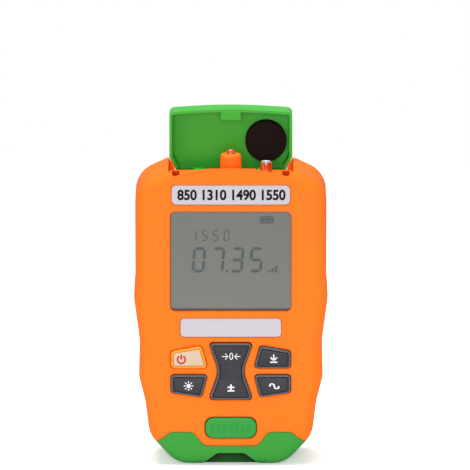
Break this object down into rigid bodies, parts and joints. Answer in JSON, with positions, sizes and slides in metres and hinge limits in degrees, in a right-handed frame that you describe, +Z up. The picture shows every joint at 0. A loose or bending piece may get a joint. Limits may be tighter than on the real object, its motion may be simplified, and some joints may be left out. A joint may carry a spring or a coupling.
{
  "type": "optical power meter",
  "caption": "Handheld optical power meter with a flip lid over its test port and torch, display window, rubber keys, release button and removable battery cap.",
  "frame": {"origin": "middle of the casing's width and thickness on the standing face of the bottom cap", "axes": "+Z up along the casing, the keypad faces -Y, +X to the right seen from the front"},
  "size_m": [0.065, 0.0366, 0.117],
  "materials": {
    "orange_abs": "satin moulded ABS",
    "green_abs": "semi-gloss moulded ABS",
    "dark_key_rubber": "satin keypad rubber",
    "power_key_rubber": "satin translucent rubber",
    "mat_silicone": "matt silicone",
    "pad_foam": "matt closed-cell foam",
    "window_acrylic": "clear acrylic",
    "panel_glass": "display glass",
    "white_diffuser": "white diffuser",
    "plate_film": "pale polyester film",
    "board_resin": "solder mask",
    "spring_steel": "rolled spring steel",
    "plated_steel": "nickel plated steel",
    "turned_steel": "turned and polished",
    "zirconia": "polished ceramic",
    "led_resin": "clear resin",
    "cell_jacket": "printed shrink jacket",
    "elastomer": "layered elastomer"
  },
  "bodies": {
    "casing": {"front_shell": "orange_abs", "rear_shell": "orange_abs", "top_deck": "orange_abs", "hinge_pin": "plated_steel", "keypad_mat": "mat_silicone", "window_lens": "window_acrylic", "title_plate": "plate_film", "label_plate": "plate_film", "circuit_board": "board_resin", "display_panel": "panel_glass", "backlight": "white_diffuser", "zebra_strips": "elastomer", "port_barrel": "turned_steel", "ferrule_sleeve": "zirconia", "photodiode": "plated_steel", "torch_led": "led_resin", "left_cell": "cell_jacket", "middle_cell": "cell_jacket", "right_cell": "cell_jacket", "bay_contacts": "spring_steel", "case_screws": "plated_steel", "board_screws": "plated_steel"},
    "lid": {"flip_lid": "green_abs", "lid_pad": "pad_foam"},
    "power_key": {"power_key": "power_key_rubber"},
    "store_key": {"store_key": "dark_key_rubber"},
    "light_key": {"light_key": "dark_key_rubber"},
    "wavelength_key": {"wavelength_key": "dark_key_rubber"},
    "rocker_key": {"rocker_key": "dark_key_rubber"},
    "release_button": {"release_button": "green_abs"},
    "cap": {"bottom_cap": "green_abs", "cap_contact": "spring_steel", "latch_spring": "spring_steel"}
  },
  "joints": [
    {"name": "lid_hinge", "type": "hinge", "parent": "casing", "child": "lid", "pos_m": [0, 0.0095, 0.0955], "axis": [1, 0, 0], "range_deg": [0, 90]},
    {"name": "power_key_press", "type": "slide", "parent": "casing", "child": "power_key", "axis": [0, 1, 0], "range_m": [0, 0.001], "stiffness_N_per_m": 400, "deforming": ["keypad_mat"]},
    {"name": "store_key_press", "type": "slide", "parent": "casing", "child": "store_key", "axis": [0, 1, 0], "range_m": [0, 0.001], "stiffness_N_per_m": 400, "deforming": ["keypad_mat"]},
    {"name": "light_key_press", "type": "slide", "parent": "casing", "child": "light_key", "axis": [0, 1, 0], "range_m": [0, 0.001], "stiffness_N_per_m": 400, "deforming": ["keypad_mat"]},
    {"name": "wavelength_key_press", "type": "slide", "parent": "casing", "child": "wavelength_key", "axis": [0, 1, 0], "range_m": [0, 0.001], "stiffness_N_per_m": 400, "deforming": ["keypad_mat"]},
    {"name": "rocker_tilt", "type": "hinge", "parent": "casing", "child": "rocker_key", "pos_m": [0, -0.0109, 0.0325], "axis": [1, 0, 0], "range_deg": [-3.5, 3.5], "stiffness_Nm_per_rad": 0.1, "deforming": ["keypad_mat"]},
    {"name": "release_press", "type": "slide", "parent": "casing", "child": "release_button", "axis": [0, 1, 0], "range_m": [0, 0.0012], "stiffness_N_per_m": 600, "deforming": ["latch_spring"]},
    {"name": "cap_pull", "type": "slide", "parent": "casing", "child": "cap", "axis": [0, 0, -1], "range_m": [0, 0.015], "deforming": ["latch_spring"]}
  ]
}
